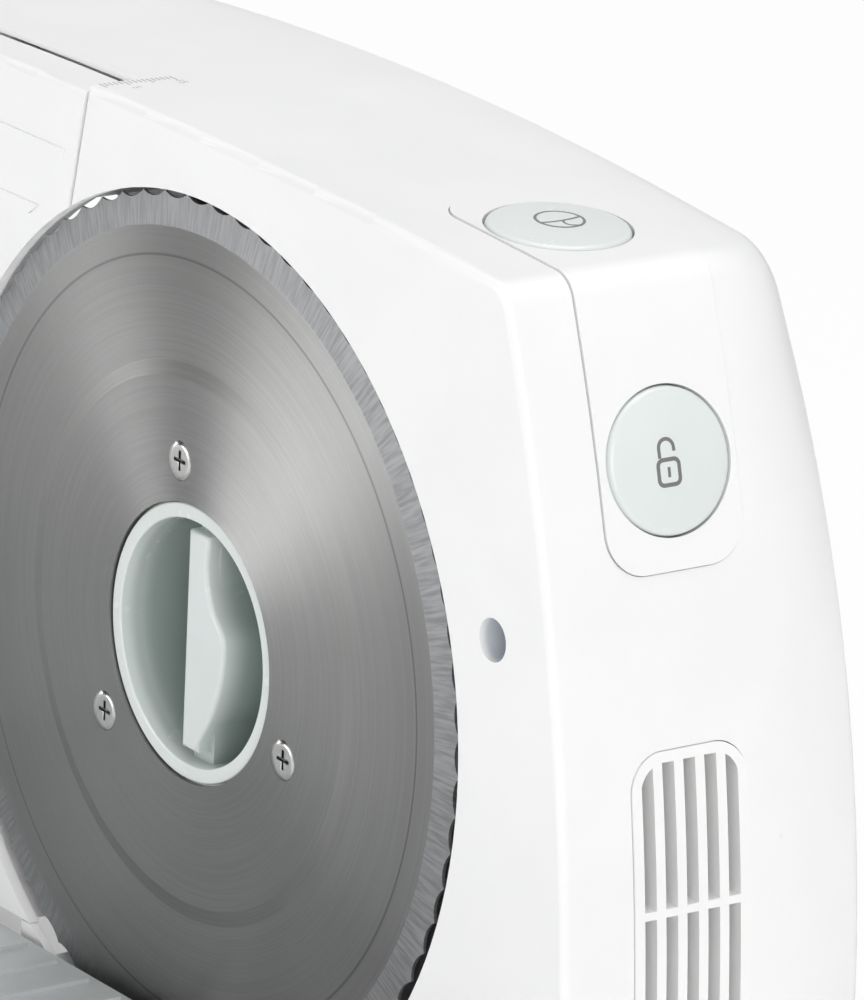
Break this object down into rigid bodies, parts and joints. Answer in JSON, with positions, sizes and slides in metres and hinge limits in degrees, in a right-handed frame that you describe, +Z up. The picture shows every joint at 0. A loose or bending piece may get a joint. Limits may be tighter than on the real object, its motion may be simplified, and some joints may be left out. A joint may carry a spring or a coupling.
{
  "type": "electric food slicer",
  "caption": "Electric kitchen food slicer: arched casing, toothed round blade with a locking hub, sliding fence and food carriage, two push buttons and a vent.",
  "frame": {"origin": "on the table, under the middle of the machine's bounding box", "axes": "+X to the cook's right along the blade's face, +Y away from the cook into the casing, +Z up"},
  "size_m": [0.32, 0.232, 0.2279],
  "materials": {
    "white_casing": "gloss",
    "pale_control": "gloss",
    "grille": "matte",
    "steel": "brushed",
    "carriage_metal": "satin",
    "gear_plastic": "matte",
    "frame_plastic": "matte",
    "bronze": "satin",
    "motor_iron": "matte",
    "motor_case": "satin",
    "switch_body": "matte",
    "foot_rubber": "matte",
    "glide_plastic": "matte"
  },
  "bodies": {
    "casing": {"rear_housing": "white_casing", "front_cover": "white_casing", "button_panel": "white_casing", "base": "white_casing", "vent_grille": "grille", "slice_spring": "steel", "lock_spring": "steel", "slice_shelf": "white_casing", "lock_shelf": "white_casing", "slice_switch": "switch_body", "lock_switch": "switch_body", "blade_axle": "steel", "gear_frame": "frame_plastic", "gear_frame_screws": "steel", "motor_plate": "steel", "motor_plate_screws": "steel", "idler_pin": "steel", "motor_can": "motor_case", "motor_front": "motor_case", "motor_magnets": "motor_iron", "motor_bushes": "bronze", "motor_screws": "steel", "guide_rods": "steel", "spindle_bush": "bronze", "base_screws": "steel", "rubber_feet": "foot_rubber", "carriage_rail": "steel", "cable_gland": "foot_rubber"},
    "blade_unit": {"blade": "steel", "blade_screws": "steel", "blade_gear": "gear_plastic", "axle_bush": "bronze"},
    "blade_lock": {"blade_lock": "pale_control"},
    "idler": {"idler_gear": "gear_plastic"},
    "motor_rotor": {"motor_shaft": "steel", "armature": "motor_iron", "motor_pinion": "bronze"},
    "slice_button": {"slice_button": "pale_control"},
    "lock_button": {"lock_button": "pale_control"},
    "fence": {"fence_plate": "white_casing", "fence_nut": "bronze"},
    "dial": {"dial_spindle": "steel", "thickness_dial": "pale_control"},
    "carriage": {"carriage": "carriage_metal", "carriage_bearings": "glide_plastic", "carriage_glide": "glide_plastic"}
  },
  "joints": [
    {"name": "blade_spin", "type": "hinge", "parent": "casing", "child": "blade_unit", "pos_m": [0.035, 0.03405, 0.13], "axis": [0, 1, 0], "continuous": true},
    {"name": "lock_turn", "type": "hinge", "parent": "blade_unit", "child": "blade_lock", "pos_m": [0.035, 0.03405, 0.13], "axis": [0, 1, 0], "range_deg": [0, 60]},
    {"name": "idler_spin", "type": "hinge", "parent": "casing", "child": "idler", "pos_m": [0.09358, 0.047, 0.12487], "axis": [0, 1, 0], "continuous": true},
    {"name": "motor_spin", "type": "hinge", "parent": "casing", "child": "motor_rotor", "pos_m": [0.11338, 0.073, 0.10508], "axis": [0, 1, 0], "continuous": true},
    {"name": "slice_press", "type": "slide", "parent": "casing", "child": "slice_button", "axis": [-0.0561, 0, -0.9984], "range_m": [0, 0.003], "stiffness_N_per_m": 500, "springref_m": -0.002, "deforming": ["slice_spring"]},
    {"name": "lock_press", "type": "slide", "parent": "casing", "child": "lock_button", "axis": [-0.9591, 0, -0.2832], "range_m": [0, 0.003], "stiffness_N_per_m": 500, "springref_m": -0.002, "deforming": ["lock_spring"]},
    {"name": "fence_slide", "type": "slide", "parent": "casing", "child": "fence", "axis": [0, 1, 0], "range_m": [0, 0.015]},
    {"name": "dial_turn", "type": "hinge", "parent": "casing", "child": "dial", "pos_m": [-0.137, 0.101, 0.14], "axis": [0, 1, 0], "range_deg": [0, 270]},
    {"name": "carriage_slide", "type": "slide", "parent": "casing", "child": "carriage", "axis": [1, 0, 0], "range_m": [-0.04, 0.122]}
  ],
  "couplings": [
    {"joint": "idler_spin", "follows": "blade_spin", "ratio": -6},
    {"joint": "motor_spin", "follows": "blade_spin", "ratio": 36},
    {"joint": "dial_turn", "follows": "fence_slide", "rad_per_m": 314.1}
  ]
}
